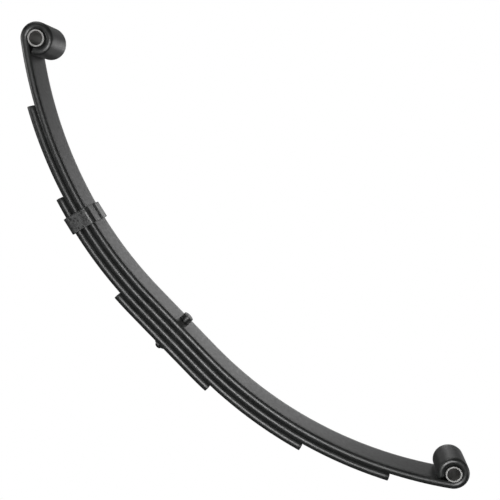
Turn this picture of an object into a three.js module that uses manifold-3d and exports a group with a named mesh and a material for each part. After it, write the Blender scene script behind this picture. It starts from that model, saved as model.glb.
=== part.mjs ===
// Four-leaf double-eye leaf spring with a centre bolt and one rebound clip.
//
// Millimetres, +Z up. The origin is on the centre bolt's axis, in the plane of the
// main leaf's top face, where the axle pad sits. +X runs along the spring to the rear
// eye, +Y runs along the axes of the eyes, and the leaves curve upwards to the eyes.

import * as THREE from 'three';
import { mergeVertices } from 'three/addons/utils/BufferGeometryUtils.js';
import Module from 'manifold-3d';

const wasm = await Module();
wasm.setup();

// ---- driving dimensions -------------------------------------------------------

const EYE_CENTRES = 641.35; // eye centre to eye centre, 25 1/4 in
const LEAF_WIDTH = 44.45; // 1 3/4 in
const LEAF_PITCH = 8.33; // a leaf and the gap under it: four make 1 5/16 in
const LEAF_GAP = 0.3;
const LEAF_THICKNESS = LEAF_PITCH - LEAF_GAP;
const EDGE_CROWN = 1.5; // how far the bar's rounded edges bulge
const EDGE_INSET = 2.4; // how far from each face the bulge ends

const SEAT_HALF_LENGTH = 45.6; // straight part of the pack, each way from the bolt
const ARM_RADIUS = 457.3; // main leaf's top face
const SECOND_HALF_LENGTH = 281.6; // along the main leaf's top face, bolt to leaf end
const THIRD_HALF_LENGTH = 184;
const FOURTH_HALF_LENGTH = 69.4;

const EYE_BORE_RADIUS = 9.2;
const EYE_WRAP = THREE.MathUtils.degToRad(298); // how far the rolled eye closes
const BUSH_OUTER_RADIUS = 8.9; // 0.7 in tube
const BUSH_INNER_RADIUS = 7.15; // for a 9/16 in hanger bolt
const BUSH_OVERHANG = 0.8; // how far the bush stands out of the eye at each side

const BOLT_RADIUS = 3.97; // 5/16 in
const BOLT_HOLE_RADIUS = 4.4;
const BOLT_HEAD_RADIUS = 6;
const BOLT_HEAD_HEIGHT = 7.94; // 5/16 in
const BOLT_END = 10; // below the lowest leaf
const BOLT_END_CHAMFER = 1;
const BOLT_HEAD_CHAMFER = 0.8;
const NUT_ACROSS_FLATS = 12.7; // 1/2 in
const NUT_HEIGHT = 6.75;

const CLIP_STATION = -155; // along the main leaf's top face, from the bolt
const CLIP_WIDTH = 19.05; // 3/4 in strap
const CLIP_THICKNESS = 2.5;
const CLIP_SIDE_GAP = 0.8;
const CLIP_BEND_RADIUS = 2.6; // inside radius of the four bends
const CLIP_SLIT = 1.6; // between the two tabs
const CLIP_LEAVES = 3; // the clip holds the upper three leaves

const RIVET_RADIUS = 3;
const RIVET_HOLE_RADIUS = 3.3;
const RIVET_HEAD_RADIUS = 5.2;
const RIVET_HEAD_HEIGHT = 2.6;
const RIVET_DOME = [[0.6, 0.85], [1, 0.3]]; // shares of the head's radius and height
const RIVET_SINK_GAP = 0.5; // round the sunk head, and how far its hole runs past the leaf

const ARC_STEPS = 6; // each arc of a leaf's outline gets twice this many segments
const SHORT_ARC_STEPS = 2; // on the lowest leaf, so that no segment is shorter than the rounding
const BEND_STEPS = 3; // on each bend of the clip
const ROUND_SEGMENTS = 28;
const SAME_POINT = 1e-3;
const CUT_PAST = 1; // how far a drilled hole runs past the faces

// ---- materials ----------------------------------------------------------------

const blackPaint = new THREE.MeshStandardMaterial({ color: 0x2b2c2c, roughness: 0.45, metalness: 0.2 });
const clipPaint = new THREE.MeshStandardMaterial({ color: 0x343535, roughness: 0.6, metalness: 0.2 });
const darkSteel = new THREE.MeshStandardMaterial({ color: 0x242424, roughness: 0.5, metalness: 0.5 });
const bushSteel = new THREE.MeshStandardMaterial({ color: 0xb9b9b6, roughness: 0.4, metalness: 0.9 });

// ---- solids -------------------------------------------------------------------

/** A closed geometry's manifold-3d solid, without the empty triangles on a turned piece's axis. */
function toSolid(geometry) {
  const bare = geometry.clone();
  bare.deleteAttribute('normal');
  bare.deleteAttribute('uv');
  const merged = mergeVertices(bare, SAME_POINT);
  const corners = merged.index.array;
  const triangles = [];
  for (let i = 0; i < corners.length; i += 3) {
    const [a, b, c] = corners.slice(i, i + 3);
    if (a !== b && b !== c && c !== a) triangles.push(a, b, c);
  }
  return new wasm.Manifold(
    new wasm.Mesh({
      numProp: 3,
      vertProperties: new Float32Array(merged.attributes.position.array),
      triVerts: new Uint32Array(triangles),
    }),
  );
}

/** The BufferGeometry of a manifold-3d solid. */
function toGeometry(solid) {
  const mesh = solid.getMesh();
  const geometry = new THREE.BufferGeometry();
  geometry.setAttribute('position', new THREE.BufferAttribute(mesh.vertProperties, 3));
  geometry.setIndex(new THREE.BufferAttribute(mesh.triVerts, 1));
  geometry.computeVertexNormals();
  return geometry;
}

/** A geometry with the cutting geometries taken away. */
function cut(geometry, cutters) {
  let solid = toSolid(geometry);
  for (const cutter of cutters) solid = solid.subtract(toSolid(cutter));
  return toGeometry(solid);
}

/** A cylinder along Z from one height to another. */
function upright(radius, from, to, segments = ROUND_SEGMENTS) {
  const cylinder = new THREE.CylinderGeometry(radius, radius, to - from, segments);
  cylinder.rotateX(Math.PI / 2);
  cylinder.translate(0, 0, (from + to) / 2);
  return cylinder;
}

/** A turned piece along Z from [radius, height] points that start and end on the axis. */
function turned(points, segments = ROUND_SEGMENTS) {
  const lathe = new THREE.LatheGeometry(points.map(([r, h]) => new THREE.Vector2(r, h)), segments);
  lathe.rotateX(Math.PI / 2);
  return lathe;
}

// ---- the pack's curve ---------------------------------------------------------

/** Angle of the pack's curve at a distance along the main leaf's top face. */
const angleAt = (length) => Math.max(0, Math.abs(length) - SEAT_HALF_LENGTH) / ARM_RADIUS;

/** Point in the XZ plane at a signed distance along the top face and a depth below it. */
function pointAt(length, depth) {
  const angle = angleAt(length);
  const radius = ARM_RADIUS + depth;
  const straight = Math.min(Math.abs(length), SEAT_HALF_LENGTH);
  return new THREE.Vector2(
    Math.sign(length) * (straight + radius * Math.sin(angle)),
    ARM_RADIUS - radius * Math.cos(angle),
  );
}

/** The outline as a polygon, without the points that neighbouring arcs share. */
function polygon(outline, steps) {
  const points = outline.getPoints(steps);
  const kept = points.filter((point, i) => point.distanceTo(points.at(i - 1)) > SAME_POINT);
  return new THREE.Shape(kept);
}

/** A side outline, in X and Z, made a bar of the leaf's width with rounded edges. */
function barFrom(outline, steps = ARC_STEPS) {
  const bar = new THREE.ExtrudeGeometry(polygon(outline, steps), {
    depth: LEAF_WIDTH - 2 * EDGE_CROWN,
    bevelEnabled: true,
    bevelThickness: EDGE_CROWN,
    bevelSize: EDGE_INSET,
    bevelOffset: -EDGE_INSET,
    bevelSegments: 2,
  });
  bar.translate(0, 0, EDGE_CROWN - LEAF_WIDTH / 2);
  bar.rotateX(Math.PI / 2);
  return bar;
}

/** A plain leaf: its depth below the top face and its half length, with square ends. */
function plainLeaf(depth, halfLength, steps = ARC_STEPS) {
  const end = angleAt(halfLength);
  const top = ARM_RADIUS + depth;
  const bottom = top + LEAF_THICKNESS;
  const down = -Math.PI / 2;
  const outline = new THREE.Shape();
  outline.moveTo(-SEAT_HALF_LENGTH, ARM_RADIUS - bottom);
  outline.lineTo(SEAT_HALF_LENGTH, ARM_RADIUS - bottom);
  outline.absarc(SEAT_HALF_LENGTH, ARM_RADIUS, bottom, down, down + end, false);
  outline.absarc(SEAT_HALF_LENGTH, ARM_RADIUS, top, down + end, down, true);
  outline.absarc(-SEAT_HALF_LENGTH, ARM_RADIUS, top, down, down - end, true);
  outline.absarc(-SEAT_HALF_LENGTH, ARM_RADIUS, bottom, down - end, down, false);
  return barFrom(outline, steps);
}

// The eye's centre is one bore radius above the top face at the end of the arm.
const EYE_X = EYE_CENTRES / 2;
const EYE_ANGLE = Math.asin((EYE_X - SEAT_HALF_LENGTH) / (ARM_RADIUS - EYE_BORE_RADIUS));
const EYE_Z = ARM_RADIUS - (ARM_RADIUS - EYE_BORE_RADIUS) * Math.cos(EYE_ANGLE);

/** The main leaf: an arm each way from the seat, with its end rolled up into an eye. */
function mainLeaf() {
  const down = -Math.PI / 2;
  const outer = EYE_BORE_RADIUS + LEAF_THICKNESS;
  const under = ARM_RADIUS + LEAF_THICKNESS;
  const start = down + EYE_ANGLE;
  const middle = start + EYE_WRAP / 2;
  const end = start + EYE_WRAP;
  const outline = new THREE.Shape();
  outline.moveTo(-SEAT_HALF_LENGTH, -LEAF_THICKNESS);
  outline.lineTo(SEAT_HALF_LENGTH, -LEAF_THICKNESS);
  outline.absarc(SEAT_HALF_LENGTH, ARM_RADIUS, under, down, start, false);
  outline.absarc(EYE_X, EYE_Z, outer, start, middle, false);
  outline.absarc(EYE_X, EYE_Z, outer, middle, end, false);
  outline.absarc(EYE_X, EYE_Z, EYE_BORE_RADIUS, end, middle, true);
  outline.absarc(EYE_X, EYE_Z, EYE_BORE_RADIUS, middle, start, true);
  outline.absarc(SEAT_HALF_LENGTH, ARM_RADIUS, ARM_RADIUS, start, down, true);
  outline.absarc(-SEAT_HALF_LENGTH, ARM_RADIUS, ARM_RADIUS, down, down - EYE_ANGLE, true);
  const mirrored = (angle) => Math.PI - angle;
  outline.absarc(-EYE_X, EYE_Z, EYE_BORE_RADIUS, mirrored(start), mirrored(middle), true);
  outline.absarc(-EYE_X, EYE_Z, EYE_BORE_RADIUS, mirrored(middle), mirrored(end), true);
  outline.absarc(-EYE_X, EYE_Z, outer, mirrored(end), mirrored(middle), false);
  outline.absarc(-EYE_X, EYE_Z, outer, mirrored(middle), mirrored(start), false);
  outline.absarc(-SEAT_HALF_LENGTH, ARM_RADIUS, under, down - EYE_ANGLE, down, false);
  return barFrom(outline);
}

// ---- leaves -------------------------------------------------------------------

const PACK_DEPTH = 4 * LEAF_PITCH - LEAF_GAP;

/** A leaf with its centre-bolt hole, and any other holes, drilled. */
function drilledLeaf(name, geometry, cutters = []) {
  const hole = upright(BOLT_HOLE_RADIUS, -PACK_DEPTH - CUT_PAST, CUT_PAST);
  const leaf = new THREE.Mesh(cut(geometry, [hole, ...cutters]), blackPaint);
  leaf.name = name;
  return leaf;
}

/** Moves a geometry from the origin to the clip's place on the pack's curve. */
function toClipPlace(geometry) {
  const place = pointAt(CLIP_STATION, 0);
  geometry.rotateY(Math.sign(-CLIP_STATION) * angleAt(CLIP_STATION));
  geometry.translate(place.x, 0, place.y);
  return geometry;
}

const CLIPPED_DEPTH = CLIP_LEAVES * LEAF_PITCH - LEAF_GAP;
const THIRD_LEAF_TOP = 2 * LEAF_PITCH;

const rivetHoleInLeaf = toClipPlace(
  turned([
    [0, -CLIPPED_DEPTH - CUT_PAST],
    [RIVET_HOLE_RADIUS, -CLIPPED_DEPTH - CUT_PAST],
    [RIVET_HOLE_RADIUS, -THIRD_LEAF_TOP - RIVET_HEAD_HEIGHT],
    [RIVET_HEAD_RADIUS + RIVET_SINK_GAP, -THIRD_LEAF_TOP + RIVET_SINK_GAP],
    [0, -THIRD_LEAF_TOP + RIVET_SINK_GAP],
  ]),
);

// ---- rebound clip -------------------------------------------------------------

/** The strap's section across the spring: an open rectangle with two tabs on top. */
function clipOutline() {
  const inside = LEAF_WIDTH / 2 + CLIP_SIDE_GAP;
  const outside = inside + CLIP_THICKNESS;
  const floor = -CLIPPED_DEPTH - LEAF_GAP;
  const roof = LEAF_GAP;
  const bend = CLIP_BEND_RADIUS;
  const wide = bend + CLIP_THICKNESS;
  const tab = CLIP_SLIT / 2;
  const quarter = Math.PI / 2;
  const outline = new THREE.Shape();
  outline.moveTo(tab, roof + CLIP_THICKNESS);
  outline.lineTo(tab, roof);
  outline.absarc(inside - bend, roof - bend, bend, quarter, 0, true);
  outline.absarc(inside - bend, floor + bend, bend, 0, -quarter, true);
  outline.absarc(-inside + bend, floor + bend, bend, -quarter, -2 * quarter, true);
  outline.absarc(-inside + bend, roof - bend, bend, 2 * quarter, quarter, true);
  outline.lineTo(-tab, roof);
  outline.lineTo(-tab, roof + CLIP_THICKNESS);
  outline.absarc(-outside + wide, roof + CLIP_THICKNESS - wide, wide, quarter, 2 * quarter, false);
  outline.absarc(-outside + wide, floor - CLIP_THICKNESS + wide, wide, 2 * quarter, 3 * quarter, false);
  outline.absarc(outside - wide, floor - CLIP_THICKNESS + wide, wide, -quarter, 0, false);
  outline.absarc(outside - wide, roof + CLIP_THICKNESS - wide, wide, 0, quarter, false);
  return outline;
}

/** The strap bent round the upper three leaves, with its rivet hole underneath. */
function reboundClip() {
  const strap = new THREE.ExtrudeGeometry(polygon(clipOutline(), BEND_STEPS), {
    depth: CLIP_WIDTH,
    bevelEnabled: false,
  });
  strap.translate(0, 0, -CLIP_WIDTH / 2);
  strap.rotateX(Math.PI / 2);
  strap.rotateZ(Math.PI / 2);
  const hole = upright(RIVET_HOLE_RADIUS, -CLIPPED_DEPTH - 2 * CLIP_THICKNESS, -CLIPPED_DEPTH);
  const clip = new THREE.Mesh(cut(toClipPlace(strap), [toClipPlace(hole)]), clipPaint);
  clip.name = 'rebound_clip';
  return clip;
}

/** The rivet through the third leaf and the strap: countersunk above, domed below. */
function clipRivet() {
  const strapUnder = -CLIPPED_DEPTH - LEAF_GAP - CLIP_THICKNESS - LEAF_GAP;
  const rivet = new THREE.Mesh(
    toClipPlace(
      turned([
        [0, strapUnder - RIVET_HEAD_HEIGHT],
        ...RIVET_DOME.map(([r, h]) => [RIVET_HEAD_RADIUS * r, strapUnder - RIVET_HEAD_HEIGHT * h]),
        [RIVET_HEAD_RADIUS, strapUnder],
        [RIVET_RADIUS, strapUnder],
        [RIVET_RADIUS, -THIRD_LEAF_TOP - RIVET_HEAD_HEIGHT],
        [RIVET_HEAD_RADIUS, -THIRD_LEAF_TOP],
        [0, -THIRD_LEAF_TOP],
      ]),
    ),
    darkSteel,
  );
  rivet.name = 'clip_rivet';
  return rivet;
}

// ---- centre bolt and nut ------------------------------------------------------

/** The centre bolt: a round head on the main leaf, its shank through the pack. */
function centreBolt() {
  const end = -PACK_DEPTH - BOLT_END;
  const bolt = new THREE.Mesh(
    turned([
      [0, end],
      [BOLT_RADIUS - BOLT_END_CHAMFER, end],
      [BOLT_RADIUS, end + BOLT_END_CHAMFER],
      [BOLT_RADIUS, LEAF_GAP],
      [BOLT_HEAD_RADIUS, LEAF_GAP],
      [BOLT_HEAD_RADIUS, BOLT_HEAD_HEIGHT - BOLT_HEAD_CHAMFER],
      [BOLT_HEAD_RADIUS - BOLT_HEAD_CHAMFER, BOLT_HEAD_HEIGHT],
      [0, BOLT_HEAD_HEIGHT],
    ]),
    darkSteel,
  );
  bolt.name = 'centre_bolt';
  return bolt;
}

/** The hexagon nut under the lowest leaf, its bore clear of the bolt by the same gap. */
function centreNut() {
  const top = -PACK_DEPTH - LEAF_GAP;
  const corner = NUT_ACROSS_FLATS / Math.sqrt(3);
  const hexagon = upright(corner, top - NUT_HEIGHT, top, 6);
  const bore = upright(BOLT_RADIUS + LEAF_GAP, top - NUT_HEIGHT - CUT_PAST, top + CUT_PAST);
  const nut = new THREE.Mesh(cut(hexagon, [bore]), darkSteel);
  nut.name = 'centre_nut';
  return nut;
}

// ---- eye bushes ---------------------------------------------------------------

/** The steel bush in an eye: a plain tube along Y. */
function eyeBush(name, side) {
  const half = LEAF_WIDTH / 2 + BUSH_OVERHANG;
  const tube = new THREE.LatheGeometry(
    [
      new THREE.Vector2(BUSH_INNER_RADIUS, -half),
      new THREE.Vector2(BUSH_OUTER_RADIUS, -half),
      new THREE.Vector2(BUSH_OUTER_RADIUS, half),
      new THREE.Vector2(BUSH_INNER_RADIUS, half),
      new THREE.Vector2(BUSH_INNER_RADIUS, -half),
    ],
    ROUND_SEGMENTS,
  );
  const bush = new THREE.Mesh(tube, bushSteel);
  bush.name = name;
  bush.position.set(side * EYE_X, 0, EYE_Z);
  return bush;
}

// ---- assembly -----------------------------------------------------------------

const spring = new THREE.Group();
spring.add(
  drilledLeaf('main_leaf', mainLeaf()),
  drilledLeaf('second_leaf', plainLeaf(LEAF_PITCH, SECOND_HALF_LENGTH)),
  drilledLeaf('third_leaf', plainLeaf(2 * LEAF_PITCH, THIRD_HALF_LENGTH), [rivetHoleInLeaf]),
  drilledLeaf('fourth_leaf', plainLeaf(3 * LEAF_PITCH, FOURTH_HALF_LENGTH, SHORT_ARC_STEPS)),
  reboundClip(),
  clipRivet(),
  centreBolt(),
  centreNut(),
  eyeBush('front_bush', -1),
  eyeBush('rear_bush', 1),
);

export default spring;
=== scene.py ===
"""A four-leaf, double-eye leaf spring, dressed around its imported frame.

Metres, +Z up. The origin is on the centre bolt's axis, in the plane of the main leaf's
top face. +X runs to the rear eye and +Y along the axes of the eyes.
"""

from __future__ import annotations

import logging
import math
from dataclasses import dataclass
from enum import Enum

import bmesh
import bpy
from mathutils import Matrix, Vector, noise

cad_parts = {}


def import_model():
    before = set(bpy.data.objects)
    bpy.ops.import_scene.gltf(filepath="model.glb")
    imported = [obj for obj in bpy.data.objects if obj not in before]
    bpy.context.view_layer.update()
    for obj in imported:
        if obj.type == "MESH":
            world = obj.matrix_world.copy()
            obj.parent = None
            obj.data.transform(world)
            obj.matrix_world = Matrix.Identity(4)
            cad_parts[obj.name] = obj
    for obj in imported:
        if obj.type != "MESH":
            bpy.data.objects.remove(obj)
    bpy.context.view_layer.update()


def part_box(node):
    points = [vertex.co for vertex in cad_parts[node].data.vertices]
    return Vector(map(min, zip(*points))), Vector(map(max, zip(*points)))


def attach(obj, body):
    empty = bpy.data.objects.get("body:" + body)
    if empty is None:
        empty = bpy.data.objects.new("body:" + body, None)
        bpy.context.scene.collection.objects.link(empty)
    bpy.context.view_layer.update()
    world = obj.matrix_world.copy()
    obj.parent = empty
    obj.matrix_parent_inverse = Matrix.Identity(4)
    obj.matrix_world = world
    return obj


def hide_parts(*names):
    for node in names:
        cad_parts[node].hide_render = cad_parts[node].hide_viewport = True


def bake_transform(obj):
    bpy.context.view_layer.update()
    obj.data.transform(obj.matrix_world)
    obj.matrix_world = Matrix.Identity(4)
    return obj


LOG = logging.getLogger("leaf_spring")
MM = 0.001
WELD = 0.001 * MM  # points nearer than this are one point
ON_AXIS = 1e-9  # a radius or distance under this counts as none
WANDER_SCALES = (45.0, 140.0)  # long and short unevenness of rolled steel, per metre
WANDER_SHORT_SHARE = 0.5
HOLE_SEGMENTS = 48
PACK_BODY = "leaf_pack"
UP = Vector((0.0, 0.0, 1.0))
ACROSS = Vector((0.0, 1.0, 0.0))


# ---- places on the spring --------------------------------------------------------


class Arm(Enum):
    """The two arms of the spring: which way each runs, and the body of its eye."""

    FRONT = ("front", -1, "front_eye")
    REAR = ("rear", 1, "rear_eye")

    @property
    def label(self) -> str:
        """The arm's name in the names of its pieces."""
        return self.value[0]

    @property
    def sign(self) -> int:
        """-1 towards -X, 1 towards +X."""
        return self.value[1]

    @property
    def body(self) -> str:
        """The body that moves when the arm bends."""
        return self.value[2]


@dataclass(frozen=True)
class Station:
    """One place along a bar: the middle of its upper face and the way its section lies.

    Attributes:
        origin: middle of the face that depths are measured from.
        side: unit vector along the section's width.
        depth: unit vector into the bar.
        along: distance along the bar, for the finish.
        inset: how far the section is drawn in here, for a rounded end.
    """

    origin: Vector
    side: Vector
    depth: Vector
    along: float
    inset: float = 0.0


@dataclass(frozen=True)
class PackCurve:
    """The curve that all the leaves share, measured on the main leaf's top face."""

    seat_half: float = 45.6 * MM
    arm_radius: float = 457.3 * MM
    pitch: float = 8.33 * MM
    bend_from: float = 45.6 * MM
    bend_to: float = 300.0 * MM

    def angle(self, along: float) -> float:
        """Slope of the curve at a distance from the bolt."""
        return max(0.0, abs(along) - self.seat_half) / self.arm_radius

    def station(self, along: float, depth: float, inset: float = 0.0) -> Station:
        """The place at a signed distance along the curve.

        Args:
            along: distance from the bolt, negative on the front arm.
            depth: how far the leaf's upper face is under the main leaf's.
            inset: how far the section is drawn in.

        Returns:
            The station, with its depth pointing away from the centre of the arc.
        """
        sign = math.copysign(1.0, along)
        angle = self.angle(along)
        down = Vector((sign * math.sin(angle), 0.0, -math.cos(angle)))
        flat = min(abs(along), self.seat_half)
        centre = Vector((sign * flat, 0.0, self.arm_radius))
        return Station(centre + down * (self.arm_radius + depth), ACROSS, down, along, inset)


@dataclass(frozen=True)
class BarSection:
    """A rolled flat bar's section: flat faces, crowned edges and slightly round corners."""

    half_width: float
    thickness: float
    crown: float = 0.75
    corner: float = 0.7 * MM
    edge_steps: int = 10
    corner_steps: int = 4
    face_steps: int = 7

    def side(self, inset: float) -> list[tuple[float, float, float]]:
        """Points down one edge, from the upper face to the lower.

        Args:
            inset: how far the outline is drawn in all round.

        Returns:
            (width, depth, edge) for each point.
        """
        half = self.thickness / 2 - inset
        crown = self.crown * self.thickness - inset
        corner = max(self.corner - inset, 0.15 * self.corner)
        middle = self.half_width - inset - crown
        lean = math.asin((half - corner) / (crown - corner))
        turn = middle + (crown - corner) * math.cos(lean)
        found = []
        for i in range(self.corner_steps):
            share = i / self.corner_steps
            angle = math.pi / 2 + (lean - math.pi / 2) * share
            place = (turn + corner * math.cos(angle), half - corner + corner * math.sin(angle))
            found.append((*place, math.sin(math.pi * share)))
        for i in range(self.edge_steps + 1):
            angle = lean * (1 - 2 * i / self.edge_steps)
            found.append((middle + crown * math.cos(angle), crown * math.sin(angle), 0.0))
        found += [(w, -up, e) for w, up, e in reversed(found[: self.corner_steps])]
        return [(w, self.thickness / 2 - up, e) for w, up, e in found]

    def ring(self, inset: float) -> list[tuple[float, float, float]]:
        """Points all round the section.

        Args:
            inset: how far the outline is drawn in.

        Returns:
            (width, depth, edge) for each point; edge is 1 on the corners and 0 on the faces.
        """
        side = self.side(inset)
        reach = side[0][0]
        shares = [1 - 2 * (i + 1) / (self.face_steps + 1) for i in range(self.face_steps)]
        top = [(-reach * share, side[0][1], 0.0) for share in shares]
        bottom = [(reach * share, side[-1][1], 0.0) for share in shares]
        return top + side + bottom + [(-w, d, e) for w, d, e in reversed(side)]


# ---- meshes ----------------------------------------------------------------------


def round_axis(radius: float, turn: float, height: float) -> Vector:
    """A point at a radius from the +Z axis, a number of radians round it."""
    return Vector((radius * math.cos(turn), radius * math.sin(turn), height))


class MeshMaker:
    """Gathers rings of points into one closed mesh, with the finish's own coordinates."""

    def __init__(self, name: str) -> None:
        """Starts an empty mesh.

        Args:
            name: the piece's name.
        """
        self.name = name
        self.bm = bmesh.new()
        self.skin = self.bm.verts.layers.float_vector.new("skin")
        self.edge = self.bm.verts.layers.float.new("edge")

    def vertex(self, place: Vector, skin: Vector, edge: float = 0.0) -> bmesh.types.BMVert:
        """Adds a point.

        Args:
            place: where the point is.
            skin: its coordinate for the finish.
            edge: how much it is on an edge, from 0 to 1.

        Returns:
            The new point.
        """
        made = self.bm.verts.new(place)
        made[self.skin] = skin
        made[self.edge] = edge
        return made

    def join(self, a: list[bmesh.types.BMVert], b: list[bmesh.types.BMVert]) -> None:
        """Closes the band between two rings.

        Args:
            a: the first ring.
            b: the second ring, with as many points.
        """
        for i in range(len(a)):
            j = (i + 1) % len(a)
            self.bm.faces.new((a[i], a[j], b[j], b[i]))

    def sweep(self, stations: list[Station], section: BarSection, roughness: float) -> None:
        """Sweeps a bar's section along its stations and closes both ends.

        Args:
            stations: the places along the bar.
            section: the bar's section.
            roughness: how far the surface wanders from true, in metres.
        """
        long, short = WANDER_SCALES
        rings = []
        for at in stations:
            ring = []
            for width, depth, edge in section.ring(at.inset):
                place = at.origin + at.side * width + at.depth * depth
                skin = Vector((at.along, width, depth))
                wander = noise.noise(skin * long) + WANDER_SHORT_SHARE * noise.noise(skin * short)
                outward = at.depth * (1 if depth > section.thickness / 2 else -1)
                ring.append(self.vertex(place + outward * wander * roughness, skin, edge))
            rings.append(ring)
        for a, b in zip(rings, rings[1:]):
            self.join(a, b)
        self.bm.faces.new(rings[0])
        self.bm.faces.new(list(reversed(rings[-1])))

    def turn(
        self, profile: list[tuple[float, float]], segments: int, closed: bool = False
    ) -> list[list[bmesh.types.BMVert]]:
        """Turns a profile round +Z.

        Args:
            profile: (radius, height) points; an end that isn't on the axis stays open.
            segments: points round each ring.
            closed: joins the profile's end to its start, for a tube.

        Returns:
            The rings, in the profile's order.
        """
        rings = []
        for radius, height in profile:
            if radius < ON_AXIS:
                rings.append([self.vertex(Vector((0, 0, height)), Vector((0, 0, height)))])
                continue
            ring = []
            for i in range(segments):
                turn = 2 * math.pi * i / segments
                place = round_axis(radius, turn, height)
                ring.append(self.vertex(place, place))
            rings.append(ring)
        pairs = list(zip(rings, rings[1:])) + ([(rings[-1], rings[0])] if closed else [])
        for a, b in pairs:
            if len(a) == 1 or len(b) == 1:
                tip, ring = (a[0], b) if len(a) == 1 else (b[0], a)
                for i in range(segments):
                    self.bm.faces.new((ring[i], ring[(i + 1) % segments], tip))
            else:
                self.join(a, b)
        return rings

    def done(self, material: bpy.types.Material, sharp: float = 38.0) -> bpy.types.Object:
        """Makes the object, shaded smooth but for its sharp edges.

        Args:
            material: the piece's finish.
            sharp: edges over this many degrees stay sharp.

        Returns:
            The new object, linked to the scene.
        """
        bmesh.ops.recalc_face_normals(self.bm, faces=self.bm.faces)
        mesh = bpy.data.meshes.new(self.name)
        self.bm.to_mesh(mesh)
        self.bm.free()
        mesh.shade_smooth()
        mesh.set_sharp_from_angle(angle=math.radians(sharp))
        mesh.materials.append(material)
        made = bpy.data.objects.new(self.name, mesh)
        bpy.context.scene.collection.objects.link(made)
        return made


def drill(piece: bpy.types.Object, radius: float, low: float, high: float) -> None:
    """Cuts a round hole on the centre bolt's axis.

    Args:
        piece: the object to drill.
        radius: the hole's radius.
        low: lowest height of the cut.
        high: highest height of the cut.
    """
    bit_maker = MeshMaker("drill_bit")
    bit_maker.turn([(0, low), (radius, low), (radius, high), (0, high)], HOLE_SEGMENTS)
    bit = bit_maker.done(piece.data.materials[0])
    cut = piece.modifiers.new("bolt_hole", "BOOLEAN")
    cut.operation, cut.solver, cut.object = "DIFFERENCE", "EXACT", bit
    bpy.context.view_layer.update()
    depsgraph = bpy.context.evaluated_depsgraph_get()
    drilled = bpy.data.meshes.new_from_object(piece.evaluated_get(depsgraph))
    piece.modifiers.remove(cut)
    cleaned = bmesh.new()
    cleaned.from_mesh(drilled)
    bmesh.ops.remove_doubles(cleaned, verts=cleaned.verts, dist=WELD)
    cleaned.to_mesh(drilled)
    cleaned.free()
    old, piece.data = piece.data, drilled
    drilled.name = piece.name
    bpy.data.meshes.remove(old)
    bit_mesh = bit.data
    bpy.data.objects.remove(bit)
    bpy.data.meshes.remove(bit_mesh)


# ---- shader building -------------------------------------------------------------


class Graph:
    """A node tree with short calls for its nodes and links."""

    def __init__(self, tree: bpy.types.NodeTree) -> None:
        """Wraps a tree.

        Args:
            tree: the material's or the group's tree.
        """
        self.tree = tree

    def node(self, kind: str, inputs: dict | None = None, **settings: object) -> bpy.types.Node:
        """Adds a node.

        Args:
            kind: the node's type, without "ShaderNode".
            inputs: values, or sockets to link from, by input name or number.
            settings: the node's own properties.

        Returns:
            The new node.
        """
        made = self.tree.nodes.new(kind if kind.startswith("Node") else "ShaderNode" + kind)
        for key, value in settings.items():
            setattr(made, key, value)
        for key, value in (inputs or {}).items():
            if isinstance(value, bpy.types.NodeSocket):
                self.tree.links.new(value, made.inputs[key])
            else:
                made.inputs[key].default_value = value
        return made

    def math(
        self, operation: str, a: object, b: object, clamp: bool = False
    ) -> bpy.types.NodeSocket:
        """The result of a maths node on two values or sockets."""
        return self.node("Math", {0: a, 1: b}, operation=operation, use_clamp=clamp).outputs[0]

    def noise(
        self, vector: object, scale: object, detail: float, rough: float
    ) -> bpy.types.NodeSocket:
        """A noise value from 0 to 1."""
        given = {"Vector": vector, "Scale": scale, "Detail": detail, "Roughness": rough}
        return self.node("TexNoise", given).outputs["Fac"]

    def span(
        self, value: object, low: float, high: float, to_low: float = 0.0, to_high: float = 1.0
    ) -> bpy.types.NodeSocket:
        """A value moved from one range to another and kept inside it."""
        ranges = {"From Min": low, "From Max": high, "To Min": to_low, "To Max": to_high}
        return self.node("MapRange", {"Value": value, **ranges}).outputs[0]

    def mix(self, factor: object, a: object, b: object) -> bpy.types.NodeSocket:
        """Mixes two colours.

        Args:
            factor: how much of the second colour, from 0 to 1.
            a: the first colour or its socket.
            b: the second colour or its socket.

        Returns:
            The mixed colour's socket.
        """
        made = self.node("Mix", data_type="RGBA")
        for index, value in ((0, factor), (6, a), (7, b)):
            if isinstance(value, bpy.types.NodeSocket):
                self.tree.links.new(value, made.inputs[index])
            else:
                made.inputs[index].default_value = value
        return made.outputs[2]


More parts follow.
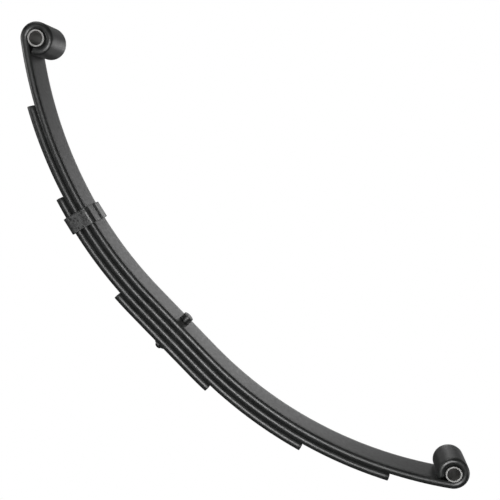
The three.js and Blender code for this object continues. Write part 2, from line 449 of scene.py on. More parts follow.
class Effects:
    """Node groups for the effects that several finishes share, each built once."""

    def __init__(self) -> None:
        """Builds every group."""
        self.paint_skin = self._paint_skin()
        self.settled_dust = self._settled_dust()
        self.worn_edge = self._worn_edge()
        self.mill_scale = self._mill_scale()

    @staticmethod
    def _group(
        name: str, inputs: dict[str, float | None], outputs: list[str]
    ) -> tuple[Graph, bpy.types.Node, bpy.types.Node]:
        """Starts a group with its named sockets.

        Args:
            name: the group's name.
            inputs: each input's default: a number, or None for a vector.
            outputs: the outputs' names; each is a number.

        Returns:
            The group's graph, its input node and its output node.
        """
        tree = bpy.data.node_groups.new(name, "ShaderNodeTree")
        for label, value in inputs.items():
            kind = "NodeSocketVector" if value is None else "NodeSocketFloat"
            socket = tree.interface.new_socket(label, in_out="INPUT", socket_type=kind)
            if value is not None:
                socket.default_value = value
        for label in outputs:
            tree.interface.new_socket(label, in_out="OUTPUT", socket_type="NodeSocketFloat")
        graph = Graph(tree)
        return graph, graph.node("NodeGroupInput"), graph.node("NodeGroupOutput")

    def _paint_skin(self) -> bpy.types.NodeTree:
        """Sprayed paint: an orange-peel height and a patchy mask of thick and thin paint.

        Returns:
            The group.
        """
        graph, given, result = self._group(
            "paint_skin",
            {"Coordinate": None, "Peel Scale": 900.0, "Patch Scale": 260.0},
            ["Height", "Patches"],
        )
        skin, peel_scale, patch_scale = (
            given.outputs[label] for label in ("Coordinate", "Peel Scale", "Patch Scale")
        )
        peel = graph.noise(skin, peel_scale, detail=3.0, rough=0.55)
        swell = graph.noise(skin, patch_scale, detail=4.0, rough=0.6)
        fine, broad = graph.math("MULTIPLY", peel, 0.4), graph.math("MULTIPLY", swell, 0.6)
        height = graph.math("ADD", fine, broad)
        graph.tree.links.new(height, result.inputs["Height"])
        graph.tree.links.new(graph.span(swell, 0.32, 0.68), result.inputs["Patches"])
        return graph.tree

    def _settled_dust(self) -> bpy.types.NodeTree:
        """Fine dust where the surface faces up, and a mask of how far it does.

        Returns:
            The group.
        """
        graph, given, result = self._group(
            "settled_dust", {"Coordinate": None, "Amount": 0.2}, ["Dust", "Facing Up"]
        )
        skin = given.outputs["Coordinate"]
        normal = graph.node("NewGeometry").outputs["Normal"]
        facing = graph.node("SeparateXYZ", {0: normal}).outputs["Z"]
        lying = graph.span(facing, 0.2, 1.0)
        speckle = graph.span(graph.noise(skin, 420.0, detail=5.0, rough=0.7), 0.45, 0.75)
        cloud = graph.span(graph.noise(skin, 26.0, detail=3.0, rough=0.6), 0.35, 0.7)
        dust = graph.math("MULTIPLY", graph.math("ADD", speckle, cloud), lying)
        dust = graph.math("MULTIPLY", dust, given.outputs["Amount"], clamp=True)
        graph.tree.links.new(dust, result.inputs["Dust"])
        graph.tree.links.new(lying, result.inputs["Facing Up"])
        return graph.tree

    def _worn_edge(self) -> bpy.types.NodeTree:
        """Where paint is thin or rubbed on an edge.

        Returns:
            The group.
        """
        graph, given, result = self._group(
            "worn_edge", {"Coordinate": None, "Edge": 0.0, "Amount": 0.3}, ["Wear"]
        )
        broken = graph.noise(given.outputs["Coordinate"], 240.0, detail=6.0, rough=0.7)
        reach = graph.math("MULTIPLY", given.outputs["Edge"], given.outputs["Amount"])
        wear = graph.span(graph.math("ADD", broken, reach), 0.72, 0.86)
        wear = graph.math("MULTIPLY", wear, given.outputs["Edge"], clamp=True)
        graph.tree.links.new(wear, result.inputs["Wear"])
        return graph.tree

    def _mill_scale(self) -> bpy.types.NodeTree:
        """Rolled steel's scale under paint: shallow pits and raised flakes.

        Returns:
            The group.
        """
        graph, given, result = self._group(
            "mill_scale", {"Coordinate": None, "Pit Scale": 280.0}, ["Height", "Pits"]
        )
        skin = given.outputs["Coordinate"]
        warp = graph.node("TexNoise", {"Vector": skin, "Scale": 300.0, "Detail": 2.0})
        bent = graph.node(
            "VectorMath",
            {0: warp.outputs["Color"], 1: (1.5 * MM,) * 3, 2: skin},
            operation="MULTIPLY_ADD",
        )
        cells = graph.node(
            "TexVoronoi",
            {"Vector": bent.outputs[0], "Scale": given.outputs["Pit Scale"], "Randomness": 1.0},
        )
        pits = graph.span(cells.outputs["Distance"], 0.2, 0.5, to_low=1.0, to_high=0.0)
        flakes = graph.noise(skin, 170.0, detail=6.0, rough=0.65)
        chosen = graph.math("MULTIPLY", pits, graph.span(flakes, 0.36, 0.54))
        height = graph.math("SUBTRACT", flakes, graph.math("MULTIPLY", chosen, 0.55))
        graph.tree.links.new(height, result.inputs["Height"])
        graph.tree.links.new(chosen, result.inputs["Pits"])
        return graph.tree


# ---- finishes --------------------------------------------------------------------

Colour = tuple[float, float, float, float]


@dataclass(frozen=True)
class PaintFinish:
    """Black paint over steel.

    Attributes:
        name: the material's name.
        thick: colour where the paint is thick.
        thin: colour where it is thin.
        gloss: roughness of the thick and the thin paint.
        peel: depth of the orange peel, in metres.
        scale_depth: depth of the mill scale that shows through, in metres.
        dust: how much dust has settled.
        wear: how far the edges are rubbed.
        rubbed: colour of a rubbed edge.
        dusty: colour of the dust.
        dust_dulls: roughness that full dust adds.
        pit_covers: how far a pit hides the thin paint's colour.
        pit_dulls: roughness that a full pit adds.
        pit_oxide: how far a full pit is bare dark oxide, which shines less than paint.
    """

    name: str
    thick: Colour = (0.006, 0.0066, 0.0064, 1.0)
    thin: Colour = (0.012, 0.013, 0.0126, 1.0)
    gloss: tuple[float, float] = (0.28, 0.4)
    peel: float = 0.012 * MM
    scale_depth: float = 0.0
    dust: float = 0.1
    wear: float = 0.12
    rubbed: Colour = (0.075, 0.075, 0.074, 1.0)
    dusty: Colour = (0.2, 0.2, 0.195, 1.0)
    dust_dulls: float = 0.3
    pit_covers: float = 0.9
    pit_dulls: float = 0.1
    pit_oxide: float = 0.7

    def build(self, effects: Effects) -> bpy.types.Material:
        """Makes the material.

        Args:
            effects: the shared node groups.

        Returns:
            The finished material.
        """
        material = bpy.data.materials.new(self.name)
        material.use_nodes = True
        graph = Graph(material.node_tree)
        shader = graph.tree.nodes["Principled BSDF"]
        skin = graph.node("Attribute", attribute_name="skin").outputs["Vector"]
        edge = graph.node("Attribute", attribute_name="edge").outputs["Fac"]
        paint = graph.node("Group", node_tree=effects.paint_skin)
        dust = graph.node("Group", node_tree=effects.settled_dust)
        worn = graph.node("Group", node_tree=effects.worn_edge)
        for group in (paint, dust, worn):
            graph.tree.links.new(skin, group.inputs["Coordinate"])
        graph.tree.links.new(edge, worn.inputs["Edge"])
        dust.inputs["Amount"].default_value = self.dust
        worn.inputs["Amount"].default_value = self.wear
        patches, film = paint.outputs["Patches"], dust.outputs["Dust"]
        colour = graph.mix(patches, self.thick, self.thin)
        colour = graph.mix(worn.outputs["Wear"], colour, self.rubbed)
        colour = graph.mix(film, colour, self.dusty)
        rough = graph.span(patches, 0.0, 1.0, *self.gloss)
        rough = graph.math("ADD", rough, graph.math("MULTIPLY", film, self.dust_dulls), clamp=True)
        height = graph.math("MULTIPLY", paint.outputs["Height"], self.peel)
        if self.scale_depth:
            scale = graph.node("Group", node_tree=effects.mill_scale)
            graph.tree.links.new(skin, scale.inputs["Coordinate"])
            bare = graph.math("SUBTRACT", 1.0, dust.outputs["Facing Up"])
            pits = graph.math("MULTIPLY", scale.outputs["Pits"], bare)
            relief = graph.math("MULTIPLY", bare, self.scale_depth)
            height = graph.math(
                "ADD", height, graph.math("MULTIPLY", scale.outputs["Height"], relief)
            )
            colour = graph.mix(graph.math("MULTIPLY", pits, self.pit_covers), colour, self.thick)
            dulled = graph.math("MULTIPLY", pits, self.pit_dulls)
            rough = graph.math("ADD", rough, dulled, clamp=True)
            oxide = graph.math("MULTIPLY", pits, self.pit_oxide)
            graph.tree.links.new(oxide, shader.inputs["Metallic"])
        bump = graph.node("Bump", {"Height": height, "Distance": 1.0, "Strength": 1.0})
        graph.tree.links.new(colour, shader.inputs["Base Color"])
        graph.tree.links.new(rough, shader.inputs["Roughness"])
        graph.tree.links.new(bump.outputs["Normal"], shader.inputs["Normal"])
        return material


@dataclass(frozen=True)
class BareSteelFinish:
    """The bushes' bare tube: bright turned ends, a dull drawn bore.

    Attributes:
        name: the material's name.
        bright: colour of the turned ends.
        stained: colour of their stains.
        dull: colour of the bore.
        gloss: roughness between and on the turning marks.
        bore_dulls: roughness that the bore adds.
        mark_scale: turning marks per metre of radius.
        mark_stretch: how fast the marks change along the tube, against across it.
        mark_depth: depth of the turning marks, in metres.
        scale_depth: depth of the bore's scale, in metres.
    """

    name: str = "bush_steel"
    bright: Colour = (0.34, 0.34, 0.335, 1.0)
    stained: Colour = (0.28, 0.275, 0.265, 1.0)
    dull: Colour = (0.3, 0.298, 0.285, 1.0)
    gloss: tuple[float, float] = (0.45, 0.58)
    bore_dulls: float = 0.18
    mark_scale: float = 9000.0
    mark_stretch: float = 0.4
    mark_depth: float = 0.006 * MM
    scale_depth: float = 0.04 * MM

    def build(self, effects: Effects) -> bpy.types.Material:
        """Makes the material.

        Args:
            effects: the shared node groups.

        Returns:
            The finished material.
        """
        material = bpy.data.materials.new(self.name)
        material.use_nodes = True
        graph = Graph(material.node_tree)
        shader = graph.tree.nodes["Principled BSDF"]
        skin = graph.node("Attribute", attribute_name="skin").outputs["Vector"]
        parts = graph.node("SeparateXYZ", {0: skin}).outputs
        inside = graph.node("Attribute", attribute_name="edge").outputs["Fac"]
        flat = graph.node("CombineXYZ", {0: parts["X"], 1: parts["Y"]}).outputs[0]
        radius = graph.node("VectorMath", {0: flat}, operation="LENGTH").outputs["Value"]
        lengthways = graph.math("MULTIPLY", parts["Z"], self.mark_stretch)
        rings = graph.node("CombineXYZ", {0: radius, 2: lengthways}).outputs[0]
        marks = graph.noise(rings, self.mark_scale, detail=2.0, rough=0.6)
        stain = graph.noise(skin, 220.0, detail=5.0, rough=0.6)
        scale = graph.node("Group", node_tree=effects.mill_scale)
        graph.tree.links.new(skin, scale.inputs["Coordinate"])
        colour = graph.mix(graph.span(stain, 0.35, 0.75), self.bright, self.stained)
        colour = graph.mix(inside, colour, self.dull)
        turned = graph.span(marks, 0.2, 0.8, *self.gloss)
        dulled = graph.math("MULTIPLY", inside, self.bore_dulls)
        rough = graph.math("ADD", turned, dulled, clamp=True)
        relief = graph.math("MULTIPLY", marks, self.mark_depth)
        pitted = graph.math("MULTIPLY", scale.outputs["Height"], inside)
        pitted = graph.math("MULTIPLY", pitted, self.scale_depth)
        bump = graph.node("Bump", {"Height": graph.math("ADD", relief, pitted), "Distance": 1.0})
        shader.inputs["Metallic"].default_value = 1.0
        graph.tree.links.new(colour, shader.inputs["Base Color"])
        graph.tree.links.new(rough, shader.inputs["Roughness"])
        graph.tree.links.new(bump.outputs["Normal"], shader.inputs["Normal"])
        return material


@dataclass
class Finishes:
    """The spring's finishes, built from the shared effects."""

    leaf: bpy.types.Material
    clip: bpy.types.Material
    fastener: bpy.types.Material
    bush: bpy.types.Material

    @classmethod
    def build(cls, effects: Effects) -> Finishes:
        """Builds each finish once.

        Args:
            effects: the shared node groups.

        Returns:
            The finishes.
        """
        clip = PaintFinish(
            "clip_paint",
            thick=(0.003, 0.0032, 0.0031, 1.0),
            thin=(0.036, 0.0375, 0.037, 1.0),
            gloss=(0.28, 0.38),
            scale_depth=0.1 * MM,
            dust=0.12,
            wear=0.2,
        )
        fastener = PaintFinish("fastener_paint", gloss=(0.25, 0.4), peel=0.01 * MM, wear=0.25)
        return cls(
            leaf=PaintFinish("leaf_paint").build(effects),
            clip=clip.build(effects),
            fastener=fastener.build(effects),
            bush=BareSteelFinish().build(effects),
        )


# ---- sub-assemblies --------------------------------------------------------------

END_TURNS = (0.0, 30.0, 60.0, 90.0)  # degrees round a cut end's corner


@dataclass
class Leaf:
    """A plain leaf, square cut at both ends, made as a front and a rear half."""

    name: str
    index: int
    half_length: float
    curve: PackCurve
    finishes: Finishes
    thickness: float = 8.11 * MM
    width: float = 44.45 * MM
    step: float = 4.0 * MM
    end_round: float = 0.9 * MM
    bolt_hole: float = 4.4 * MM
    roughness: float = 0.05 * MM

    @property
    def depth(self) -> float:
        """How far the leaf's upper face lies under the main leaf's."""
        return self.index * self.curve.pitch

    @property
    def section(self) -> BarSection:
        """The leaf's section."""
        return BarSection(self.width / 2, self.thickness)

    def _along(self, sign: int, distance: float) -> Station:
        """The place at a distance along one arm, which keeps its side at the bolt itself."""
        return self.curve.station(sign * max(distance, ON_AXIS), self.depth)

    def _end_rounding(self) -> list[tuple[float, float]]:
        """Works out the rounding of a cut end.

        Returns:
            How far back from the end each of its stations is, and how far it is drawn in.
        """
        turns = [math.radians(turn) for turn in END_TURNS]
        return [
            (self.end_round * (1 - math.sin(a)), self.end_round * (1 - math.cos(a))) for a in turns
        ]

    def half_stations(self, sign: int) -> list[Station]:
        """Places the stations from the bolt to one end of the leaf.

        Args:
            sign: -1 for the front half, 1 for the rear half.

        Returns:
            The stations, with the end's corner taken off.
        """
        plain = self.half_length - self.end_round
        count = max(2, round(plain / self.step))
        found = [self._along(sign, plain * i / count) for i in range(count)]
        for back, inset in self._end_rounding():
            found.append(self.curve.station(sign * (self.half_length - back), self.depth, inset))
        return found

    def _make(self, name: str, stations: list[Station]) -> bpy.types.Object:
        """Sweeps and drills one piece of the leaf.

        Args:
            name: the piece's name.
            stations: the places along it.

        Returns:
            The piece.
        """
        maker = MeshMaker(name)
        maker.sweep(stations, self.section, self.roughness)
        piece = maker.done(self.finishes.leaf)
        top = -self.depth
        drill(piece, self.bolt_hole, top - 2 * self.thickness, top + self.thickness)
        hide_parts(self.name)
        return piece

    def build(self) -> list[bpy.types.Object]:
        """Makes both halves, one for each arm.

        Returns:
            The two pieces.
        """
        made = []
        for arm in Arm:
            piece = self._make(f"{self.name}_{arm.label}_half", self.half_stations(arm.sign))
            bend_with_arm(piece)
            made.append(piece)
        return made


def bend_with_arm(piece: bpy.types.Object) -> None:
    """Bakes a finished piece's transform into its mesh.

    Args:
        piece: the finished piece.
    """
    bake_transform(piece)


@dataclass
class ShortLeaf(Leaf):
    """The lowest leaf. It lies on the seat, so it is one piece that doesn't bend."""

    def build(self) -> list[bpy.types.Object]:
        """Makes the whole leaf.

        Returns:
            The one piece.
        """
        front = self.half_stations(-1)[1:]
        piece = self._make(f"{self.name}_bar", list(reversed(front)) + self.half_stations(1))
        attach(piece, PACK_BODY)
        return [piece]


@dataclass
class MainLeaf(Leaf):
    """The top leaf, rolled up at each end into an eye, which sets its length."""

    eye_bore: float = 9.2 * MM
    wrap: float = math.radians(298)
    roll_step: float = math.radians(6)

    def half_stations(self, sign: int) -> list[Station]:
        """Places the stations from the bolt out to the eye and round it.

        Args:
            sign: -1 for the front half, 1 for the rear half.

        Returns:
            The stations.
        """
        low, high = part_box("rear_bush")
        eye_x, eye_z = (low.x + high.x) / 2, (low.z + high.z) / 2
        reach = (eye_x - self.curve.seat_half) / (self.curve.arm_radius - self.eye_bore)
        slope = math.asin(reach)
        arm_end = self.curve.seat_half + self.curve.arm_radius * slope
        count = round(arm_end / self.step)
        found = [self._along(sign, arm_end * i / count) for i in range(count)]
        centre = Vector((sign * eye_x, 0.0, eye_z))
        middle = self.eye_bore + self.thickness / 2
        plain = self.wrap - self.end_round / middle
        steps = round(self.wrap / self.roll_step)
        turns = [(plain * i / steps, 0.0) for i in range(steps)]
        turns += [(self.wrap - back / middle, inset) for back, inset in self._end_rounding()]
        for turn, inset in turns:
            angle = slope + turn
            out = Vector((sign * math.sin(angle), 0.0, -math.cos(angle)))
            along = sign * (arm_end + turn * self.eye_bore)
            found.append(Station(centre + out * self.eye_bore, ACROSS, out, along, inset))
        return found


@dataclass
class EyeBush:
    """The steel tube pressed into an eye."""

    arm: Arm
    finishes: Finishes
    wall: float = 1.75 * MM
    chamfer: float = 0.15 * MM
    segments: int = 96
    bore_rows: int = 16
    sharp: float = 30.0

    def build(self) -> bpy.types.Object:
        """Makes the tube in the place of its node.

        Returns:
            The bush.
        """
        node = f"{self.arm.label}_bush"
        low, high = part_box(node)
        outer, half = (high.x - low.x) / 2, (high.y - low.y) / 2
        inner = outer - self.wall
        c = self.chamfer
        profile = [
            (inner, -half + c), (inner + c, -half), (outer - c, -half), (outer, -half + c),
            (outer, half - c), (outer - c, half), (inner + c, half), (inner, half - c),
        ]
        for i in range(self.bore_rows):
            profile.append((inner, (half - c) * (1 - 2 * (i + 1) / (self.bore_rows + 1))))
        maker = MeshMaker(f"{node}_tube")
        maker.turn(profile, self.segments, closed=True)
        for vertex in maker.bm.verts:
            near_bore = math.hypot(vertex.co.x, vertex.co.y) < inner + c / 2
            vertex[maker.edge] = 1.0 if near_bore else 0.0
        centre = (low + high) / 2
        maker.bm.transform(Matrix.Translation(centre) @ Matrix.Rotation(math.pi / 2, 4, "X"))
        tube = maker.done(self.finishes.bush, self.sharp)
        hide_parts(node)
        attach(tube, self.arm.body)
        return tube


@dataclass
class CentreBolt:
    """The bolt that pins the leaves together, with its nut below."""

    finishes: Finishes
    segments: int = 72
    head_round: float = 0.9 * MM
    head_gap: float = 0.25 * MM
    head_chamfer: float = 0.3 * MM
    shank_radius: float = 3.97 * MM
    thread_pitch: float = 25.4 / 18 * MM
    thread_depth: float = 0.62 * MM
    thread_length: float = 16.0 * MM
    thread_lead: float = 1.0 * MM
    rows_per_pitch: int = 8
    across_flats: float = 12.7 * MM
    nut_play: float = 0.15 * MM
    nut_chamfer: float = 0.6 * MM
    nut_corner_slope: float = math.tan(math.radians(30))
    nut_corner_rows: int = 8
    nut_face: float = 0.96
    nut_worn_from: float = 0.97
    nut_sharp: float = 25.0

    def build_bolt(self) -> bpy.types.Object:
        """Makes the round head, the shank and the cut thread.

        Returns:
            The bolt.
        """
        low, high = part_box("centre_bolt")
        head, top = (high.x - low.x) / 2, high.z
        seat, chamfer, rounding = self.head_gap, self.head_chamfer, self.head_round
        profile = [(self.shank_radius, seat), (head - chamfer, seat), (head, seat + chamfer)]
        for turn in range(0, 91, 15):
            a = math.radians(turn)
            inwards, down = rounding * (1 - math.cos(a)), rounding * (1 - math.sin(a))
            profile.append((head - inwards, top - down))
        profile += [(head / 2, top), (0.0, top)]
        maker = MeshMaker("centre_bolt_head")
        collar = maker.turn(profile, self.segments)[0]
        for vertex in maker.bm.verts:
            rim = abs(math.hypot(vertex.co.x, vertex.co.y) - head) < rounding
            vertex[maker.edge] = 1.0 if rim and vertex.co.z > top - rounding else 0.0
        self._thread(maker, low.z, collar)
        bolt = maker.done(self.finishes.fastener)
        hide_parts("centre_bolt")
        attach(bolt, PACK_BODY)
        return bolt

    def _thread(
        self, maker: MeshMaker, bottom: float, collar: list[bmesh.types.BMVert]
    ) -> None:
        """Adds the shank, with a helical thread at its lower end.

        Args:
            maker: the bolt's mesh.
            bottom: height of the bolt's end.
            collar: the ring under the head that the shank starts from.
        """
        thread_top = bottom + self.thread_length
        heights = []
        z = bottom
        while z < thread_top:
            heights.append(z)
            z += self.thread_pitch / self.rows_per_pitch
        heights.append(thread_top + self.thread_lead)
        rings = []
        for z in heights:
            ring = []
            for i in range(self.segments):
                turn = 2 * math.pi * i / self.segments
                phase = (z / self.thread_pitch - i / self.segments) % 1.0
                cut = self.thread_depth * abs(2 * phase - 1) if z < thread_top else 0.0
                lead = min(1.0, (z - bottom) / self.thread_lead)
                taper = self.thread_lead * (1 - lead)
                radius = self.shank_radius - max(cut, taper)
                place = round_axis(radius, turn, z)
                ring.append(maker.vertex(place, place))
            rings.append(ring)
        for a, b in zip(rings, rings[1:] + [collar]):
            maker.join(a, b)
        maker.bm.faces.new(rings[0])

    def build_nut(self) -> bpy.types.Object:
        """Makes the hexagon nut, with the corners of both faces turned off.

        Returns:
            The nut.
        """
        low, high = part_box("centre_nut")
        flat = self.across_flats / 2
        corner = flat / math.cos(math.pi / 6)
        bore, chamfer = self.shank_radius + self.nut_play, self.nut_chamfer
        slope, face = self.nut_corner_slope, flat * self.nut_face
        maker = MeshMaker("centre_nut_hex")
        rows = self.nut_corner_rows
        drop = (corner - face) * slope
        levels = [drop * i / rows for i in range(rows + 1)]
        heights = [low.z + h for h in levels] + [high.z - h for h in reversed(levels)]
        rings = []
        for z in heights:
            ring = []
            limit = face + min(z - low.z, high.z - z) / slope
            for i in range(self.segments):
                turn = 2 * math.pi * i / self.segments
                nearest = (turn + math.pi / 6) % (math.pi / 3) - math.pi / 6
                radius = min(flat / math.cos(nearest), limit)
                place = round_axis(radius, turn, z)
                worn = 1.0 if radius > corner * self.nut_worn_from else 0.0
                ring.append(maker.vertex(place, place, worn))
            rings.append(ring)
        hole = [
            (bore + chamfer, high.z), (bore, high.z - chamfer),
            (bore, low.z + chamfer), (bore + chamfer, low.z),
        ]
        inside = maker.turn(hole, self.segments)
        for a, b in ((rings[-1], inside[0]), (inside[-1], rings[0]), *zip(rings, rings[1:])):
            maker.join(a, b)
        nut = maker.done(self.finishes.fastener, self.nut_sharp)
        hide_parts("centre_nut")
        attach(nut, PACK_BODY)
        return nut


@dataclass
class ReboundClip:
    """The strap bent round the upper three leaves of the front arm, and its rivet."""

    curve: PackCurve
    finishes: Finishes
    place: float = -155.0 * MM
    skew: float = math.radians(3.1)
    strap_width: float = 19.05 * MM
    strap_thickness: float = 2.5 * MM
    inside_half: float = 23.025 * MM
    bend: float = 2.2 * MM
    bend_steps: int = 8
    slit: float = 1.6 * MM
    far_lift: float = 1.2 * MM
    over_gap: float = 0.15 * MM
    under_gap: float = 0.1 * MM
    cut_round: float = 0.45 * MM
    roughness: float = 0.12 * MM
    leaves: int = 3
    step: float = 1.2 * MM
    rivet_shank: float = 3.0 * MM
    rivet_head: float = 5.2 * MM
    rivet_dome: float = 2.5 * MM
    rivet_gap: float = 0.3 * MM
    rivet_segments: int = 48
    sink_gap: float = 0.1 * MM
    sink_depth: float = 2.6 * MM

    def local(self) -> Matrix:
        """Finds where the clip sits.

        Returns:
            From the clip's own axes (leaf direction, across, up) to the row's.
        """
        at = self.curve.station(self.place, 0.0)
        up = -at.depth
        axes = Matrix((ACROSS.cross(up), ACROSS, up)).transposed().to_4x4()
        return Matrix.Translation(at.origin) @ axes @ Matrix.Rotation(self.skew, 4, "Z")

    def path(self) -> list[tuple[float, float, float, float, float]]:
        """The strap's inner face, from the end of the near tab round to the far tab's.

        Returns:
            (y, z, outward y, outward z, distance) at each step.
        """
        roof = self.over_gap
        floor = -self.leaves * self.curve.pitch - self.under_gap
        side, r = self.inside_half, self.bend
        corners = [(-side, roof), (-side, floor), (side, floor), (side, roof)]
        ends = [(-self.slit / 2, roof), (self.slit / 2, roof + self.far_lift)]
        points = [ends[0], *corners, ends[1]]
        found: list[tuple[float, float, float, float, float]] = []
        travelled = 0.0
        here = Vector(points[0])
        for i in range(1, len(points) - 1):
            corner, after = Vector(points[i]), Vector(points[i + 1])
            into, out = (corner - Vector(points[i - 1])).normalized(), (after - corner).normalized()
            turn = into.angle(out)
            cut_back = r * math.tan(turn / 2)
            stop = corner - into * cut_back
            normal = Vector((into.y, -into.x))
            count = max(2, round((stop - here).length / self.step))
            for k in range(count):
                p = here + (stop - here) * (k / count)
                found.append((p.x, p.y, normal.x, normal.y, travelled + (p - here).length))
            travelled += (stop - here).length
            centre = stop - normal * r
            for k in range(self.bend_steps):
                a = turn * k / self.bend_steps
                n = Matrix.Rotation(a, 2) @ normal
                p = centre + n * r
                found.append((p.x, p.y, n.x, n.y, travelled + r * a))
            travelled += r * turn
            here = corner + out * cut_back
        last = Vector(points[-1])
        normal = Vector(((last - here).y, -(last - here).x)).normalized()
        count = max(2, round((last - here).length / self.step))
        for k in range(count + 1):
            p = here + (last - here) * (k / count)
            found.append((p.x, p.y, normal.x, normal.y, travelled + (p - here).length))
        return found

    def build_strap(self) -> bpy.types.Object:
        """Makes the bent strap, its surface rough from rolling.

        Returns:
            The clip.
        """
        local = self.local()
        turn = local.to_3x3()
        side = turn @ Vector((1.0, 0.0, 0.0))
        section = BarSection(
            self.strap_width / 2,
            self.strap_thickness,
            crown=1.4,
            corner=0.5 * MM,
            edge_steps=6,
            corner_steps=3,
            face_steps=13,
        )
        path = self.path()
        stations = []
        for i, (y, z, ny, nz, travelled) in enumerate(path):
            inset = self.cut_round if i in (0, len(path) - 1) else 0.0
            outward = turn @ Vector((0.0, ny, nz))
            stations.append(Station(local @ Vector((0.0, y, z)), side, outward, travelled, inset))
        maker = MeshMaker("rebound_clip_strap")
        maker.sweep(stations, section, self.roughness)
        strap = maker.done(self.finishes.clip)
        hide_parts("rebound_clip")
        bend_with_arm(strap)
        return strap

    def build_rivet(self) -> bpy.types.Object:
        """Makes the rivet, countersunk in the third leaf and domed under the strap.

        Returns:
            The rivet.
        """
        under = -self.leaves * self.curve.pitch - self.strap_thickness - self.rivet_gap
        leaf_top = -(self.leaves - 1) * self.curve.pitch
        shank, head, dome = self.rivet_shank, self.rivet_head, self.rivet_dome
        profile = [(0.0, under - dome)]
        for turn in range(15, 91, 15):
            a = math.radians(turn)
            profile.append((head * math.sin(a), under - dome * math.cos(a)))
        sunk = leaf_top - self.sink_gap
        profile += [(shank, under), (shank, leaf_top - self.sink_depth), (head, sunk), (0.0, sunk)]
        maker = MeshMaker("clip_rivet_turned")
        maker.turn(profile, self.rivet_segments)
        maker.bm.transform(self.local())
        rivet = maker.done(self.finishes.fastener)
        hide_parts("clip_rivet")
        bend_with_arm(rivet)
        return rivet


# ---- studio ----------------------------------------------------------------------


@dataclass
class SoftLight:
    """A soft area light aimed at the spring."""

    name: str
    place: tuple[float, float, float]
    size: tuple[float, float]
    power: float
    aim: tuple[float, float, float] = (0.0, 0.0, 0.03)

    def build(self) -> bpy.types.Object:
        """Makes the light.

        Returns:
            The light's object.
        """
        light = bpy.data.lights.new(self.name, "AREA")
        light.shape = "RECTANGLE"
        light.size, light.size_y = self.size
        light.energy = self.power
        made = bpy.data.objects.new(self.name, light)
        made.location = self.place
        direction = Vector(self.aim) - Vector(self.place)
        made.rotation_euler = direction.to_track_quat("-Z", "Y").to_euler()
        made.visible_camera = False
        bpy.context.scene.collection.objects.link(made)
        return made


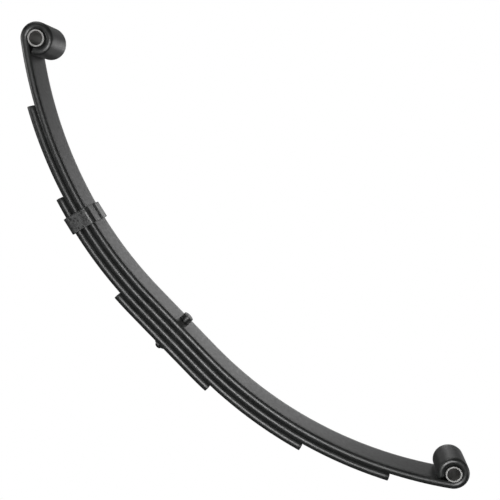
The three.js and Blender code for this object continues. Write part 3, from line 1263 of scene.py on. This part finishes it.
@dataclass
class Studio:
    """A plain pale studio, its camera and its soft lights."""

    camera_place: tuple[float, float, float] = (-0.02143, -0.81945, 0.24312)
    heading: float = 2.691
    pitch: float = 8.81
    roll: float = 46.687
    lens: float = 54.883
    sensor: float = 36.0
    near_clip: float = 0.01
    shift: tuple[float, float] = (-0.0399, 0.0221)
    floor_height: float = -0.75
    floor_radius: float = 3.0
    floor_sweep: float = 1.2
    floor_rise: float = 2.2
    floor_segments: int = 64
    floor_sharp: float = 60.0
    world_fill: float = 0.06

    def build_camera(self) -> bpy.types.Object:
        """Makes the camera, above one side of the spring and rolled.

        Returns:
            The camera.
        """
        heading, pitch, roll = (math.radians(a) for a in (self.heading, self.pitch, self.roll))
        level_reach = math.cos(pitch)
        ahead = Vector(
            (math.sin(heading) * level_reach, math.cos(heading) * level_reach, -math.sin(pitch))
        )
        level = ahead.cross(UP).normalized()
        upright = level.cross(ahead)
        right = level * math.cos(roll) + upright * math.sin(roll)
        top = upright * math.cos(roll) - level * math.sin(roll)
        data = bpy.data.cameras.new("studio_camera")
        data.lens, data.sensor_width = self.lens, self.sensor
        data.shift_x, data.shift_y = self.shift
        data.clip_start = self.near_clip
        camera = bpy.data.objects.new("studio_camera", data)
        axes = Matrix((right, top, -ahead)).transposed().to_4x4()
        camera.matrix_world = Matrix.Translation(self.camera_place) @ axes
        bpy.context.scene.collection.objects.link(camera)
        bpy.context.scene.camera = camera
        return camera

    def build_floor(self) -> bpy.types.Object:
        """Makes the floor, which sweeps up all round like a bowl.

        Returns:
            The floor.
        """
        radius, sweep, base = self.floor_radius, self.floor_sweep, self.floor_height
        profile = [(radius / 2, base), (radius, base)]
        for turn in range(10, 91, 10):
            a = math.radians(turn)
            profile.append((radius + sweep * math.sin(a), base + sweep * (1 - math.cos(a))))
        profile.append((radius + sweep, base + sweep + self.floor_rise))
        maker = MeshMaker("studio_floor")
        middle = maker.turn(profile, self.floor_segments)[0]
        maker.bm.faces.new(middle)
        floor = maker.done(self._floor_material(), self.floor_sharp)
        return floor

    @staticmethod
    def _floor_material() -> bpy.types.Material:
        """A plain pale sweep, lit evenly for the camera.

        Returns:
            The material.
        """
        material = bpy.data.materials.new("studio_white")
        material.use_nodes = True
        graph = Graph(material.node_tree)
        graph.tree.nodes.remove(graph.tree.nodes["Principled BSDF"])
        seen = graph.node("LightPath").outputs["Is Camera Ray"]
        white = graph.node("Emission", {"Color": (1.0, 1.0, 1.0, 1.0), "Strength": 1.0})
        pale = graph.node("BsdfDiffuse", {"Color": (0.14, 0.14, 0.14, 1.0)})
        both = graph.node("MixShader", {0: seen, 1: pale.outputs[0], 2: white.outputs[0]})
        graph.tree.links.new(both.outputs[0], graph.tree.nodes["Material Output"].inputs["Surface"])
        return material

    def build_lights(self) -> None:
        """Makes the world's dim fill and the soft lights."""
        world = bpy.data.worlds.new("studio_world")
        world.use_nodes = True
        background = world.node_tree.nodes["Background"]
        background.inputs["Color"].default_value = (1.0, 1.0, 1.0, 1.0)
        background.inputs["Strength"].default_value = self.world_fill
        bpy.context.scene.world = world
        SoftLight("front_softbox", (0.19, -2.3, 0.05), (0.98, 0.9), 40.0).build()
        SoftLight("front_fill_panel", (-1.2, -2.2, -0.25), (0.6, 0.6), 2.2).build()
        SoftLight("back_panel", (0.12, 2.4, 0.47), (0.95, 0.6), 2.9).build()
        SoftLight("backdrop_panel", (0.22, 2.5, 0.3), (3.2, 2.0), 6.2).build()
        SoftLight("low_side_panel", (-1.05, -0.45, -0.6), (0.5, 0.4), 3.5).build()
        for side in (-1, 1):
            SoftLight(f"end_panel_{side}", (2.7 * side, 0.3, 0.9), (1.4, 1.2), 24.0).build()
            SoftLight(f"front_side_panel_{side}", (2.2 * side, -1.2, 1.2), (0.9, 0.9), 8.0).build()
            SoftLight(f"rear_side_panel_{side}", (2.0 * side, 1.7, 1.2), (0.9, 0.9), 14.0).build()
        bpy.context.scene.view_settings.view_transform = "Standard"

    def build(self) -> None:
        """Makes the whole studio, the camera first."""
        self.build_camera()
        self.build_floor()
        self.build_lights()


# ---- the whole -------------------------------------------------------------------


def main() -> None:
    """Builds the studio and every piece of the spring."""
    logging.basicConfig(level=logging.INFO, format="%(message)s")
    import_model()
    Studio().build()
    finishes = Finishes.build(Effects())
    curve = PackCurve()
    clip = ReboundClip(curve, finishes)
    bolt = CentreBolt(finishes)
    pieces = [
        *MainLeaf("main_leaf", 0, 0.0, curve, finishes).build(),
        *Leaf("second_leaf", 1, 281.6 * MM, curve, finishes).build(),
        *Leaf("third_leaf", 2, 184.0 * MM, curve, finishes).build(),
        *ShortLeaf("fourth_leaf", 3, 69.4 * MM, curve, finishes).build(),
        EyeBush(Arm.FRONT, finishes).build(),
        EyeBush(Arm.REAR, finishes).build(),
        bolt.build_bolt(),
        bolt.build_nut(),
        clip.build_strap(),
        clip.build_rivet(),
    ]
    for piece in pieces:
        LOG.info("%s: %d faces", piece.name, len(piece.data.polygons))


if __name__ == "__main__":
    main()
